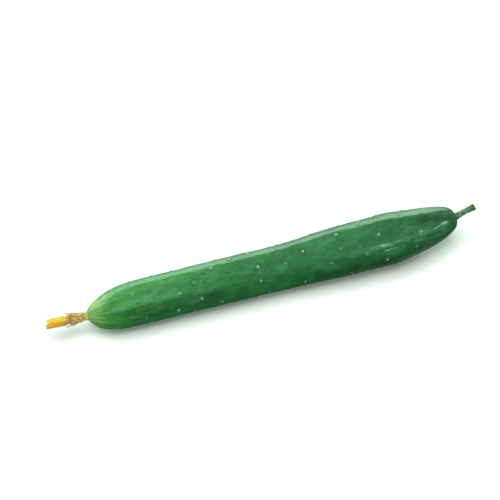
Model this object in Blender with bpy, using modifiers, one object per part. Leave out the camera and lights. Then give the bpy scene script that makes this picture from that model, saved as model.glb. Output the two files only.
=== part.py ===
"""A whole cucumber as picked, lying on its side: the fruit with its spined warts, the cut stalk
at one end, and the withered flower, a calyx round a closed corolla, at the other.

Metres, +Z up. The stem end points to +X, and the origin is on the long flat spot that the fruit
rests on, under the middle of its length. Run it with: blender --background --python part.py"""

import math
import random

import bmesh
import bpy
from mathutils import Matrix, Vector

MM = 0.001

# The fruit's body. A share is a place along the fruit: 0 at the blossom end, 1 at the stem end.
FRUIT_LENGTH = 210 * MM
BLOSSOM_SIDE_RADIUS = 11.9 * MM
STEM_SIDE_RADIUS = 13.9 * MM
THICKENS_BETWEEN = (0.45, 0.74)
SWELLINGS = [  # share along the fruit, spread of it, and height
    (0.38, 0.16, 0.30 * MM),
    (0.64, 0.05, 0.20 * MM),
    (0.81, 0.05, 0.30 * MM),
]
BLOSSOM_CAP = {"reach": 0.145, "bulge": 2.4, "bluntness": 1.85}
STEM_CAP = {"reach": 0.19, "bulge": 1.15, "bluntness": 3.0}

# The way it lies: very nearly straight, with its neck turned up and a little to +Y, and its
# blossom end hanging a little below the nub.
FLAT_DEPTH = 0.28 * MM
BOW = 0.1 * MM
SWAY = 0.4 * MM
NECK_LIFT = 3.8 * MM
NECK_SHIFT = 1.0 * MM
NECK_FROM = 0.78
CHIN_DROP = 0.85 * MM
CHIN_LOWEST = 0.045
CHIN_ENDS = 0.13

# Its section: flat sides between ten uneven crests, plainest at the ends, on three very faint
# lobes. A flatness of 0 is a round section and 1 a straight-sided one.
RIBS = 10
RIB_CRESTS = [math.radians(turn) for turn in (0, 38, 77, 108, 138, 173, 210, 252, 288, 324)]
RIB_LEVEL = 0.966
RIB_FLATNESS = 0.32
RIB_FLATNESS_AT_ENDS = 0.62
RIBBED_ENDS = (0.10, 0.30)
LOBES = 3
LOBE_SHARE = 0.012
LOBE_TURN = math.radians(20)

# The two ends: a nub that the flower sat on, and a dimple round the stalk.
NUB_HEIGHT = 1.0 * MM
NUB_RADIUS = 1.7 * MM
DIMPLE_DEPTH = 1.4 * MM
DIMPLE_RADIUS = 3.8 * MM

# How finely the fruit is cut into faces.
SIDES_PER_RIB = 4
FRUIT_SIDES = RIBS * SIDES_PER_RIB
FRUIT_RINGS = 100

# Warts: each is one face of the fruit raised in two steps, with a spine on top. The ones in front
# are given by ring and side, and those on the other ribs are drawn by lot.
FRONT_WARTS = [
    *[(13, 11), (15, 19), (17, 14), (22, 8), (23, 19), (24, 14), (27, 21), (28, 12), (29, 17)],
    *[(33, 9), (34, 20), (38, 7), (43, 6), (44, 12), (44, 16), (46, 21), (49, 8), (51, 13)],
    *[(55, 20), (56, 11), (62, 16), (65, 9), (65, 13), (67, 21), (71, 7), (71, 16), (75, 12)],
    *[(76, 19), (82, 7), (84, 18), (86, 14), (88, 8)],
]
OTHER_RIBS = [0, 1, 6, 7, 8, 9]
WART_SEED = 11
WART_FIRST_RING = 7
WART_LAST_RING = FRUIT_RINGS - 7
WART_STEP = (5, 9)
WART_FOOT = 0.50 * MM
WART_HEIGHT = 0.32 * MM
SPINE_FOOT = 0.34 * MM
SPINE_FOOT_HEIGHT = 0.12 * MM
SPINE_LENGTH = 1.0 * MM
SPINE_CLEARANCE = 0.3 * MM

# The stalk: five blunt angles, cut off square.
PIECE_GAP = 0.32 * MM
STALK_FOOT_HEIGHT = 0.62 * MM
STALK_LENGTH = 12.0 * MM
STALK_RADIUS = 1.55 * MM
STALK_FOOT_FLARE = 0.26
STALK_FOOT_ROUNDING = 0.72
STALK_TIP_FLARE = 0.15
STALK_ANGLES = 5
STALK_ANGLE_SHARE = 0.11
STALK_SIDES = 20
STALK_STATIONS = 10
STALK_LEAN = Vector((1.0, 0.10, 0.20))
STALK_CURL = 0.8 * MM

# The withered flower, along its own +Z axis, which leaves the fruit's blossom end.
FLOWER_LEAN = Vector((-1.0, 0.02, 0.04))
CUP_PROFILE = [  # radius and height, from the foot, up the outside, over the rim and down the inside
    (1.60 * MM, PIECE_GAP),
    (1.85 * MM, 1.1 * MM),
    (2.20 * MM, 2.4 * MM),
    (2.62 * MM, 4.2 * MM),
    (3.08 * MM, 6.0 * MM),
    (3.25 * MM, 7.4 * MM),
    (3.00 * MM, 7.9 * MM),
    (2.70 * MM, 7.6 * MM),
    (2.50 * MM, 6.2 * MM),
    (1.90 * MM, 4.0 * MM),
]
CUP_FLOOR = CUP_PROFILE[-1][1]
CUP_SIDES = 20
CUP_PLEAT = 0.12 * MM
CUP_TWIST = math.radians(3.4) / MM
SEPALS = 5
SEPAL_LENGTH = 4.6 * MM
SEPAL_HALF_WIDTH = 0.65 * MM
SEPAL_TAPER = 0.72
SEPAL_ROOT = (2.85 * MM, 6.6 * MM)
SEPAL_SPREADS = (0.7 * MM, 1.2 * MM)
BLADE_THICKNESS = 0.62 * MM

# Its petals: a share along one is 0 at the root and 1 at the tip.
PETAL_LENGTHS = [16.9 * MM, 16.2 * MM, 14.0 * MM, 13.2 * MM, 16.6 * MM]
PETALS_TURN = math.radians(22)
PETAL_ROOT_HEIGHT = 4.6 * MM
PETAL_RADII = (0.95 * MM, 1.60 * MM, 2.25 * MM)
PETAL_LEAVES_ROOT = (0.0, 0.30)
PETAL_LEAVES_CUP = (0.20, 0.50)
PETAL_HALF_WIDTH = (0.70 * MM, 2.20 * MM)
PETAL_WIDENS = (0.12, 0.62)
PETAL_TIP_FROM = 0.72
PETAL_TIP_ROUNDING = 0.30
PETAL_OVERLAP = (0.24 * MM, 0.60 * MM)
PETAL_OVERLAPS = (0.15, 0.45)
PETAL_WAVE = 0.12 * MM
PETAL_WAVES = 1.4
PETAL_SEED = 4
CORE_RADIUS = 1.02 * MM
CORE_TIP_SHARE = 0.6
CORE_LENGTH = 3.2 * MM

FULL_TURN = 2 * math.pi
SHARP_ANGLE = math.radians(38)
SMALL_STEP = 1e-3


def clear_scene():
    for obj in list(bpy.data.objects):
        bpy.data.objects.remove(obj)


def new_collection(name):
    collection = bpy.data.collections.new(name)
    bpy.context.scene.collection.children.link(collection)
    return collection


def new_material(name, colour, roughness):
    material = bpy.data.materials.new(name)
    material.use_nodes = True
    shader = material.node_tree.nodes["Principled BSDF"]
    shader.inputs["Base Color"].default_value = (*colour, 1.0)
    shader.inputs["Roughness"].default_value = roughness
    shader.inputs["Metallic"].default_value = 0.0
    return material


def mesh_object(name, bm, collection, material=None):
    """Turns a bmesh into an object in the collection, and frees the bmesh."""
    mesh = bpy.data.meshes.new(name)
    bm.to_mesh(mesh)
    bm.free()
    if material:
        mesh.materials.append(material)
    obj = bpy.data.objects.new(name, mesh)
    collection.objects.link(obj)
    return obj


def smooth_between(low, high, value):
    """0 below low, 1 above high, and a smooth S between them."""
    part = min(1.0, max(0.0, (value - low) / (high - low)))
    return part * part * (3 - 2 * part)


def mix(pair, part):
    return pair[0] + (pair[1] - pair[0]) * part


def cap(distance, reach, bulge, bluntness):
    """The share of the full radius at a distance from a rounded end that is `reach` long."""
    inward = 1 - min(1.0, max(0.0, distance / reach))
    return (1 - inward**bulge) ** (1 / bluntness)


def body_radius(share):
    """The radius before the ends are rounded off: the stem half is the thicker one."""
    thickening = smooth_between(*THICKENS_BETWEEN, share)
    radius = mix((BLOSSOM_SIDE_RADIUS, STEM_SIDE_RADIUS), thickening)
    for place, spread, height in SWELLINGS:
        radius += height * math.exp(-(((share - place) / spread) ** 2))
    return radius


def outline_radius(share):
    return body_radius(share) * cap(share, **BLOSSOM_CAP) * cap(1 - share, **STEM_CAP)


def axis_point(share):
    """A point on the line through the middle of the fruit, at a height that lets its belly rest."""
    from_middle = 2 * share - 1
    neck = max(0.0, (share - NECK_FROM) / (1 - NECK_FROM)) ** 2
    chin = smooth_between(0, CHIN_LOWEST, share) * (1 - smooth_between(CHIN_LOWEST, CHIN_ENDS, share))
    return Vector(
        (
            from_middle * FRUIT_LENGTH / 2,
            BOW * from_middle**2 + SWAY * math.sin(FULL_TURN * share) + NECK_SHIFT * neck,
            body_radius(share) - FLAT_DEPTH + NECK_LIFT * neck - CHIN_DROP * chin,
        )
    )


def axis_frame(share):
    """The middle point there with the directions along the fruit, to its +Y side, and up."""
    before, after = axis_point(share - SMALL_STEP), axis_point(share + SMALL_STEP)
    along = (after - before).normalized()
    side = Vector((0, 0, 1)).cross(along).normalized()
    return axis_point(share), along, side, along.cross(side)


def rib_rise(angle):
    """How far a straight-sided section stands off the round one there, as a share of the radius."""
    angle %= FULL_TURN
    ends = RIB_CRESTS + [FULL_TURN]
    side = max(i for i, crest in enumerate(RIB_CRESTS) if crest <= angle)
    half = (ends[side + 1] - ends[side]) / 2
    return math.cos(half) / math.cos(angle - ends[side] - half) - RIB_LEVEL


def section_radius(share, angle):
    """The radius at an angle round the fruit, counted from its +Y side towards its top."""
    away_from_end = smooth_between(*RIBBED_ENDS, min(share, 1 - share))
    flatness = mix((RIB_FLATNESS_AT_ENDS, RIB_FLATNESS), away_from_end)
    lobes = LOBE_SHARE * math.cos(LOBES * (angle - LOBE_TURN))
    return outline_radius(share) * (1 + lobes + flatness * rib_rise(angle))


def fruit_point(share, angle):
    centre, along, side, up = axis_frame(share)
    radius = section_radius(share, angle)
    if share < 0.5:
        end_relief = -NUB_HEIGHT * math.exp(-((radius / NUB_RADIUS) ** 2))
    else:
        end_relief = -DIMPLE_DEPTH * math.exp(-((radius / DIMPLE_RADIUS) ** 2))
    outward = side * math.cos(angle) + up * math.sin(angle)
    point = centre + outward * radius + along * end_relief
    point.z = max(0.0, point.z)
    return point


def even_shares(count):
    """Shares of the fruit's length that lie evenly spaced along its rounded outline."""
    fine = 2000
    shares = [0.5 - 0.5 * math.cos(math.pi * i / fine) for i in range(fine + 1)]
    travelled = [0.0]
    for low, high in zip(shares, shares[1:]):
        rise = outline_radius(high) - outline_radius(low)
        travelled.append(travelled[-1] + math.hypot((high - low) * FRUIT_LENGTH, rise))
    stations, at = [], 0
    for step in range(count + 1):
        wanted = travelled[-1] * step / count
        while at < fine and travelled[at + 1] < wanted:
            at += 1
        stretch = travelled[at + 1] - travelled[at] if at < fine else 1.0
        part = (wanted - travelled[at]) / stretch
        stations.append(shares[at] + part * (shares[min(at + 1, fine)] - shares[at]))
    return stations


def wart_cells():
    """Ring and side numbers of the faces that carry a wart: an uneven row along each rib."""
    draw = random.Random(WART_SEED)
    cells = list(FRONT_WARTS)
    for rib in OTHER_RIBS:
        ring = WART_FIRST_RING + draw.randrange(WART_STEP[1])
        while ring < WART_LAST_RING:
            side = rib * SIDES_PER_RIB + draw.randrange(-1, 2)
            cells.append((ring, side % FRUIT_SIDES))
            ring += draw.randint(*WART_STEP)
    return cells


def cell_of(face):
    """Ring and side numbers of a face of the unit sphere that the fruit is shaped from."""
    centre = face.calc_center_median().normalized()
    ring = int((1 - math.acos(centre.z) / math.pi) * FRUIT_RINGS)
    side = int(math.atan2(centre.y, centre.x) % FULL_TURN / FULL_TURN * FRUIT_SIDES)
    return ring, side


def raise_warts(bm, faces):
    """Raises each face to a small wart, and draws its top out to a pointed spine."""
    bm.normal_update()
    whole_height = WART_HEIGHT + SPINE_FOOT_HEIGHT + SPINE_LENGTH
    clear = [
        face
        for face in faces
        if (face.calc_center_median() + face.normal * whole_height).z > SPINE_CLEARANCE
    ]
    for thickness, depth in ((WART_FOOT, WART_HEIGHT), (SPINE_FOOT, SPINE_FOOT_HEIGHT)):
        bmesh.ops.inset_individual(bm, faces=clear, thickness=thickness, depth=depth)
    bmesh.ops.poke(bm, faces=clear, offset=SPINE_LENGTH, center_mode="MEAN")


def make_fruit(collection):
    """A sphere's grid of faces, drawn out along the fruit's axis, with its warts and spines."""
    bm = bmesh.new()
    bmesh.ops.create_uvsphere(bm, u_segments=FRUIT_SIDES, v_segments=FRUIT_RINGS, radius=1)
    chosen = set(wart_cells())
    wart_faces = [face for face in bm.faces if cell_of(face) in chosen]
    stations = even_shares(FRUIT_RINGS)
    for vert in bm.verts:
        ring = round((1 - math.acos(max(-1.0, min(1.0, vert.co.z))) / math.pi) * FRUIT_RINGS)
        vert.co = fruit_point(stations[ring], math.atan2(vert.co.y, vert.co.x))
    raise_warts(bm, wart_faces)
    skin = new_material("waxy green skin", (0.043, 0.163, 0.061), 0.38)
    fruit = mesh_object("fruit", bm, collection, skin)
    fruit.data.shade_smooth()
    fruit.data.set_sharp_from_angle(angle=SHARP_ANGLE)


def stalk_section(helpers):
    """The stalk's section of unit size, a circle drawn out to five blunt angles."""
    data = bpy.data.curves.new("stalk_section", "CURVE")
    data.dimensions = "2D"
    spline = data.splines.new("POLY")
    spline.points.add(STALK_SIDES - 1)
    spline.use_cyclic_u = True
    for i, point in enumerate(spline.points):
        angle = -FULL_TURN * i / STALK_SIDES
        radius = 1 + STALK_ANGLE_SHARE * math.cos(STALK_ANGLES * angle)
        point.co = (radius * math.cos(angle), radius * math.sin(angle), 0, 1)
    section = bpy.data.objects.new("stalk_section", data)
    section.hide_render = True
    section.display_type = "WIRE"
    helpers.objects.link(section)
    return section


def make_stalk(collection, helpers):
    """The cut stalk: it leaves the dimple, flares at both ends, and curls up a little."""
    end, along, _, up = axis_frame(1.0)
    start = end - along * (DIMPLE_DEPTH - STALK_FOOT_HEIGHT)
    lean = STALK_LEAN.normalized()
    data = bpy.data.curves.new("stalk", "CURVE")
    data.dimensions = "3D"
    data.bevel_mode = "OBJECT"
    data.bevel_object = stalk_section(helpers)
    data.use_fill_caps = True
    spline = data.splines.new("POLY")
    spline.points.add(STALK_STATIONS - 1)
    for i, point in enumerate(spline.points):
        part = i / (STALK_STATIONS - 1)
        flare = STALK_FOOT_FLARE * max(0.0, 1 - 3 * part) + STALK_TIP_FLARE * part**6
        rounding = STALK_FOOT_ROUNDING if i == 0 else 1.0
        at = start + lean * (STALK_LENGTH * part) + up * (STALK_CURL * part**2)
        point.co = (*at, 1)
        point.radius = STALK_RADIUS * (1 + flare) * rounding
    data.materials.append(new_material("hairy green stalk", (0.095, 0.230, 0.125), 0.62))
    collection.objects.link(bpy.data.objects.new("stalk", data))


def blade(name, place, columns, rows, collection):
    """A thin closed leaf. place(across, along) puts a point of its middle surface, with across
    from -1 to 1 and along from 0 at the root to 1 at the tip."""
    bm = bmesh.new()
    bmesh.ops.create_grid(bm, x_segments=columns, y_segments=rows, size=1)
    for vert in bm.verts:
        vert.co = place(vert.co.x, (vert.co.y + 1) / 2)
    bmesh.ops.triangulate(bm, faces=bm.faces)
    obj = mesh_object(name, bm, collection)
    walls = obj.modifiers.new("thickness", "SOLIDIFY")
    walls.thickness = BLADE_THICKNESS
    walls.offset = 0
    return obj


def fuse(base, pieces):
    """Joins a collection of pieces to the base by one Boolean union, and removes them."""
    union = base.modifiers.new("union", "BOOLEAN")
    union.operation = "UNION"
    union.operand_type = "COLLECTION"
    union.collection = pieces
    union.solver = "EXACT"
    bpy.context.view_layer.update()
    graph = bpy.context.evaluated_depsgraph_get()
    joined = bpy.data.meshes.new_from_object(base.evaluated_get(graph))
    base.modifiers.clear()
    base.data = joined
    for piece in list(pieces.objects):
        bpy.data.objects.remove(piece)
    bpy.data.collections.remove(pieces)
    joined.shade_smooth()
    joined.set_sharp_from_angle(angle=SHARP_ANGLE)


def make_flower_frame(collection):
    """An empty on the fruit's blossom end, with +Z along the flower's axis."""
    frame = bpy.data.objects.new("flower", None)
    frame.location = fruit_point(0.0, 0.0)
    frame.rotation_mode = "QUATERNION"
    frame.rotation_quaternion = FLOWER_LEAN.to_track_quat("Z", "Y")
    collection.objects.link(frame)
    return frame


def make_cup(collection, material):
    """The calyx tube: a pleated cup, turned about its axis and closed at its foot and its floor."""
    bm = bmesh.new()
    outline = [(0.0, CUP_PROFILE[0][1]), *CUP_PROFILE, (0.0, CUP_FLOOR)]
    verts = [bm.verts.new((radius, 0, height)) for radius, height in outline]
    edges = [bm.edges.new(pair) for pair in zip(verts, verts[1:])]
    bmesh.ops.spin(
        bm,
        geom=verts + edges,
        cent=(0, 0, 0),
        axis=(0, 0, 1),
        angle=FULL_TURN,
        steps=CUP_SIDES,
        use_merge=True,
    )
    bmesh.ops.remove_doubles(bm, verts=bm.verts, dist=0.01 * MM)
    bmesh.ops.recalc_face_normals(bm, faces=bm.faces)
    for vert in bm.verts:
        out = Vector((vert.co.x, vert.co.y, 0))
        if out.length > CUP_PROFILE[0][0]:
            turn = math.atan2(out.y, out.x) + CUP_TWIST * vert.co.z
            vert.co += out.normalized() * CUP_PLEAT * math.cos(SEPALS * turn)
    return mesh_object("calyx", bm, collection, material)


def sepal_place(turn, spread):
    """Where a sepal's points go: a narrow tongue that leaves the cup's wall and bends outwards."""
    radial = Vector((math.cos(turn), math.sin(turn), 0))
    tangent = Vector((-math.sin(turn), math.cos(turn), 0))
    root = radial * SEPAL_ROOT[0] + Vector((0, 0, SEPAL_ROOT[1]))

    def place(across, along):
        half_width = SEPAL_HALF_WIDTH * (1 - SEPAL_TAPER * along)
        bend = spread * math.sin(along * math.pi / 2)
        rise = SEPAL_LENGTH * along - spread * along**2
        return root + radial * bend + tangent * half_width * across + Vector((0, 0, rise))

    return place


def make_calyx(collection, frame):
    """The dry calyx: the pleated cup with five narrow sepals round its rim, as one body."""
    dry = new_material("dry brown calyx", (0.270, 0.135, 0.042), 0.85)
    calyx = make_cup(collection, dry)
    sepals = new_collection("sepals")
    for i in range(SEPALS):
        turn = FULL_TURN * (i + 0.25) / SEPALS
        blade(f"sepal_{i}", sepal_place(turn, SEPAL_SPREADS[i % 2]), 1, 5, sepals)
    fuse(calyx, sepals)
    calyx.parent = frame


def petal_place(turn, length, phase):
    """Where a petal's points go: it hugs the flower's axis, widens above the cup and waves."""

    def place(across, along):
        at_root, at_rim, beyond = PETAL_RADII
        radius = mix((at_root, at_rim), smooth_between(*PETAL_LEAVES_ROOT, along))
        radius += (beyond - at_rim) * smooth_between(*PETAL_LEAVES_CUP, along)
        free = smooth_between(*PETAL_OVERLAPS, along)
        wave = PETAL_WAVE * free * math.sin(FULL_TURN * PETAL_WAVES * along + phase)
        distance = radius + mix(PETAL_OVERLAP, free) * across + wave
        half_width = mix(PETAL_HALF_WIDTH, smooth_between(*PETAL_WIDENS, along))
        into_tip = max(0.0, along - PETAL_TIP_FROM) / PETAL_TIP_ROUNDING
        angle = turn + half_width * math.sqrt(1 - into_tip**2) * across / radius
        height = PETAL_ROOT_HEIGHT + length * along
        return Vector((distance * math.cos(angle), distance * math.sin(angle), height))

    return place


def make_core(collection, material):
    """The dry column that holds the petals' roots together."""
    bm = bmesh.new()
    bmesh.ops.create_cone(
        bm,
        cap_ends=True,
        segments=12,
        radius1=CORE_RADIUS,
        radius2=CORE_TIP_SHARE * CORE_RADIUS,
        depth=CORE_LENGTH,
        matrix=Matrix.Translation((0, 0, CUP_FLOOR + PIECE_GAP + CORE_LENGTH / 2)),
    )
    return mesh_object("corolla", bm, collection, material)


def make_corolla(collection, frame):
    """The withered corolla: five petals closed round their column, fused at their roots."""
    draw = random.Random(PETAL_SEED)
    dry = new_material("withered yellow petals", (0.780, 0.420, 0.060), 0.70)
    corolla = make_core(collection, dry)
    petals = new_collection("petals")
    for i, length in enumerate(PETAL_LENGTHS):
        turn = PETALS_TURN + FULL_TURN * (i + 0.2 * draw.random()) / len(PETAL_LENGTHS)
        place = petal_place(turn, length, draw.uniform(0, FULL_TURN))
        blade(f"petal_{i}", place, 4, 10, petals)
    fuse(corolla, petals)
    corolla.parent = frame


def main():
    clear_scene()
    cucumber = new_collection("cucumber")
    helpers = new_collection("helpers")
    make_fruit(cucumber)
    make_stalk(cucumber, helpers)
    flower = make_flower_frame(cucumber)
    make_calyx(cucumber, flower)
    make_corolla(cucumber, flower)


main()
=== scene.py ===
"""The looks of a whole cucumber as picked: its ribbed skin with warts and pale spines, the hairy cut
stalk, and the withered flower on its blossom end. Metres, +Z up, the stem end towards +X."""

import math
import random

import bmesh
import bpy
import numpy as np
from mathutils import Matrix, Vector, noise


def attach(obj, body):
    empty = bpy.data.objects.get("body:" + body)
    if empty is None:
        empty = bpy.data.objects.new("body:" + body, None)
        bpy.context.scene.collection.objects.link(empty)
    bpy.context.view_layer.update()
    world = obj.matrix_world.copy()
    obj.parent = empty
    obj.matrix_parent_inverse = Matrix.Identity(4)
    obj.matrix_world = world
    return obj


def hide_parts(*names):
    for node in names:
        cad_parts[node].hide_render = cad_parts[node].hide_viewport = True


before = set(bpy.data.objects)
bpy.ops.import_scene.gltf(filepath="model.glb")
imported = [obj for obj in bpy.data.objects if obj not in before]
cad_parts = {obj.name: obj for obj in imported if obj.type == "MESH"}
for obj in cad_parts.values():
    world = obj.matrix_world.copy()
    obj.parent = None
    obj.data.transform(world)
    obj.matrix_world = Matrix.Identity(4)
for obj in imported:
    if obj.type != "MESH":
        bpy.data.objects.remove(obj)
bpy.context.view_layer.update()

MM = 0.001
FULL_TURN = 2 * math.pi
SMALL_STEP = 1e-3
ROOT = "root"

# Without a seed, the vector noise that crumples the petals and sepals differs from run to run.
CRUMPLE_SEED = 7
noise.seed_set(CRUMPLE_SEED)

# The fruit's form, as in the solid. A share is 0 at the blossom end and 1 at the stem end.
FRUIT_LENGTH = 210 * MM
BLOSSOM_SIDE_RADIUS = 11.9 * MM
STEM_SIDE_RADIUS = 13.9 * MM
THICKENS_BETWEEN = (0.45, 0.74)
SWELLINGS = [(0.38, 0.16, 0.30 * MM), (0.64, 0.05, 0.20 * MM), (0.81, 0.05, 0.30 * MM)]
BLOSSOM_CAP = {"reach": 0.145, "bulge": 2.4, "bluntness": 1.85}
STEM_CAP = {"reach": 0.19, "bulge": 1.15, "bluntness": 3.0}
FLAT_DEPTH = 0.28 * MM
BOW = 0.1 * MM
SWAY = 0.4 * MM
NECK_LIFT = 3.8 * MM
NECK_SHIFT = 1.0 * MM
NECK_FROM = 0.78
CHIN_DROP = 0.85 * MM
CHIN_LOWEST = 0.045
CHIN_ENDS = 0.13
RIBS = 10
RIB_CRESTS = np.radians([0, 38, 77, 108, 138, 173, 210, 252, 288, 324])
RIB_ROUNDING = math.radians(2.6)
RIB_ROUNDING_IN_MIDDLE = math.radians(9)
SHARPEST_CREST = math.radians(77)
RIB_TURN_AT_STEM = math.radians(5)
RIBS_TURN_BETWEEN = (0.80, 0.93)
RIB_WANDERS = [  # turn to either side, waves along the fruit, and the share that they start from
    (math.radians(3.0), 2.1, 0.27),
    (math.radians(1.0), 9.3, 0.05),
    (math.radians(0.5), 23.0, 0.0),
]
SHARPEST_CREST_REACH = math.radians(20)
RIB_FLATNESS = 0.32
RIB_FLATNESS_AT_ENDS = 0.62
RIBBED_ENDS = (0.10, 0.30)
LOBES = 3
LOBE_SHARE = 0.012
LOBE_TURN = math.radians(20)
NUB_HEIGHT = 1.0 * MM
NUB_RADIUS = 1.7 * MM
DIMPLE_DEPTH = 1.4 * MM
DIMPLE_RADIUS = 3.8 * MM

# The grid of faces of the solid, which says where the warts sit: ring, side, and how large it is.
SIDES_PER_RIB = 4
SOLID_SIDES = RIBS * SIDES_PER_RIB
SOLID_RINGS = 100
FRONT_WARTS = [
    *[(13, 11, 0.5), (15, 19, 0.5), (17, 14, 0.6), (22, 8, 0.8), (23, 19, 1.0), (24, 14, 0.6)],
    *[(27, 21, 0.6), (28, 12, 0.5), (29, 17, 1.0), (33, 9, 0.8), (34, 20, 0.7), (38, 7, 1.1)],
    *[(43, 6, 1.1), (44, 12, 1.2), (44, 16, 0.9), (46, 21, 0.7), (49, 8, 0.9), (51, 13, 0.6)],
    *[(55, 20, 0.9), (56, 11, 1.2), (62, 16, 0.6), (65, 9, 1.0), (65, 13, 0.6), (67, 21, 0.6)],
    *[(71, 7, 0.7), (71, 16, 0.6), (75, 12, 1.2), (76, 19, 1.0), (82, 7, 0.8), (84, 18, 0.6)],
    *[(86, 14, 0.9), (88, 8, 0.5)],
]
OTHER_RIBS = [0, 1, 6, 7, 8, 9]
WART_SEED = 11
WART_FIRST_RING = 7
WART_LAST_RING = SOLID_RINGS - 7
WART_STEP = (5, 9)
WART_SIZES = (0.6, 1.1)
WART_REACH = 1.44 * MM
SPINE_CLEARANCE = 0.3 * MM

# The fine skin, and what each point of it tells its material.
SKIN_ATTRIBUTES = ("place", "wart", "moat", "ripe", "smooth_and_painted_highlight", "fresh", "painted_light_and_shade")
SKIN_SIDES = 240
SKIN_RINGS = 410
PATTERN_RADIUS = 12.5 * MM
PALE_BACK = 0.032
# The tip's fine ridges are paler, partly their own colour and partly painted highlight.
PALE_AND_PAINTED_HIGHLIGHT_RIDGES = 0.06
PALE_BACK_ANGLES = np.radians([-30, 0, 92, 106])
FRESH_SIDE = (math.radians(91), math.radians(13))
FRESH_SHARES = (0.05, 0.12, 0.22, 0.40)
# Painted shade: a darker band below one rib, in the blossom half of the fruit.
SHADY_ANGLES = np.radians([134, 141, 168, 186])
SHADY_SHARES = (0.05, 0.10, 0.30, 0.42)
SHADY_DEPTH = 0.30

# The skin's relief: height, size of its lumps, seed, how far they are drawn out lengthwise (1 is not
# at all), and the shares between which it comes in, if it isn't everywhere.
SKIN_RELIEF = [
    (0.16 * MM, 17 * MM, 0.0, 1.0, None),
    (0.12 * MM, 6 * MM, 7.0, 1.0, None),
    (0.16 * MM, 1.9 * MM, 3.0, 0.10, (0.24, 0.02)),
    (0.20 * MM, 2.3 * MM, 5.0, 0.10, (0.80, 0.97)),
    (0.09 * MM, 2.2 * MM, 9.0, 0.6, None),
]

# Streaks rubbed smooth, whose paleness is painted highlight and painted sheen: share, angle, how far
# each reaches both ways, and how strong.
SMOOTH_STREAKS_AND_PAINTED_HIGHLIGHTS = [
    *[(0.750, 141, 0.010, 1.6, 0.5), (0.772, 138, 0.014, 2.8, 0.9), (0.786, 142, 0.014, 1.5, 0.9)],
    *[(0.784, 151, 0.014, 1.6, 0.6), (0.810, 150, 0.016, 1.2, 0.4), (0.815, 137, 0.012, 1.3, 0.4)],
    *[(0.881, 134, 0.006, 3.5, 0.9), (0.870, 151, 0.014, 1.6, 0.4), (0.855, 136, 0.016, 1.0, 0.3)],
    *[(0.905, 136, 0.016, 1.0, 0.3), (0.930, 136, 0.010, 2.0, 0.8), (0.953, 133, 0.008, 3.6, 3.0)],
    *[(0.950, 152, 0.008, 2.0, 0.4), (0.230, 131, 0.010, 3.0, 0.3), (0.465, 153, 0.008, 3.0, 0.3)],
    *[(0.140, 122, 0.050, 12.0, 0.15), (0.210, 128, 0.030, 8.0, 0.15), (0.800, 157, 0.030, 8.0, 0.18)],
]

# Painted light and shade: broad lighter and darker patches of the green where light or shade falls on
# it: share, angle, reach both ways, and how much.
PAINTED_LIGHT_AND_SHADE_PATCHES = [
    *[(0.068, 128, 0.024, 18, -0.50), (0.120, 122, 0.040, 13, 0.14), (0.210, 128, 0.030, 9, 0.14)],
    *[(0.420, 126, 0.050, 20, -0.30), (0.500, 182, 0.060, 14, 0.60), (0.650, 184, 0.070, 14, -0.20)],
    *[(0.945, 168, 0.025, 12, 0.75), (0.030, 184, 0.020, 14, 0.25), (0.200, 186, 0.050, 13, 0.28)],
    *[(0.400, 184, 0.040, 12, 0.26), (0.880, 70, 0.035, 14, 0.45)],
    *[(0.800, 158, 0.050, 11, 0.42), (0.940, 150, 0.030, 18, 0.60), (0.900, 106, 0.060, 18, -0.24)],
    *[(0.080, 100, 0.025, 12, 0.15), (0.500, 98, 0.050, 12, 0.12), (0.700, 99, 0.045, 12, 0.16)],
    *[(0.875, 166, 0.035, 8, -0.25), (0.740, 180, 0.070, 12, -0.2), (0.300, 156, 0.035, 12, -0.35)],
    *[(0.120, 156, 0.030, 11, -0.25), (0.500, 66, 0.070, 12, -0.15), (0.600, 66, 0.050, 12, -0.15)],
]
WART_HEIGHT = 0.34 * MM
WART_WIDTH = 1.05 * MM
MOAT_DEPTH = 0.10 * MM
MOAT_REACH = 1.75 * MM
MOAT_WIDTH = 0.65 * MM

# Fine ridges that run back from the blossom end: angle, where each starts and ends, and height.
TIP_RIDGE_WIDTH = math.radians(2.4)
TIP_RIDGE_GAIN = 1.4
TIP_RIDGES = [
    (math.radians(turn), start, end, height * MM)
    for turn, start, end, height in [
        *[(84, 0.02, 0.10, 0.26), (97, 0.015, 0.07, 0.28), (61, 0.03, 0.09, 0.18)],
        *[(118, 0.01, 0.05, 0.14), (149, 0.02, 0.10, 0.14), (170, 0.01, 0.06, 0.12)],
        *[(196, 0.02, 0.09, 0.2), (222, 0.01, 0.08, 0.2), (246, 0.02, 0.06, 0.2)],
        *[(275, 0.01, 0.07, 0.2), (301, 0.02, 0.10, 0.2), (329, 0.01, 0.06, 0.2)],
        *[(354, 0.02, 0.09, 0.2), (22, 0.01, 0.07, 0.2), (41, 0.02, 0.05, 0.2)],
    ]
]

# The stalk, as in the solid.
STALK_FOOT_HEIGHT = 0.62 * MM
STALK_LENGTH = 12.0 * MM
STALK_RADIUS = 1.55 * MM
STALK_FOOT_FLARE = 0.26
STALK_TIP_FLARE = 0.15
STALK_ANGLES = 5
STALK_ANGLE_SHARE = 0.11
STALK_LEAN = Vector((1.0, 0.10, 0.20)).normalized()
STALK_CURL = 0.8 * MM
STALK_ROWS = 60
STALK_CUT = [  # share along the stalk and of its radius, over the dried rim into the sunken pith
    *[(0.99, 1.04), (1.0, 0.97), (1.0, 0.86), (0.99, 0.76)],
    *[(0.985, 0.55), (0.98, 0.3), (0.965, 0.0)],
]
STALK_HAIRS = 150
STALK_HAIR_SEED = 21
STALK_HAIR = [  # radius and height
    *[(0.0, -0.05 * MM), (0.11 * MM, 0.0), (0.06 * MM, 0.12 * MM)],
    *[(0.03 * MM, 0.4 * MM), (0.0, 0.8 * MM)],
]

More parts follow.
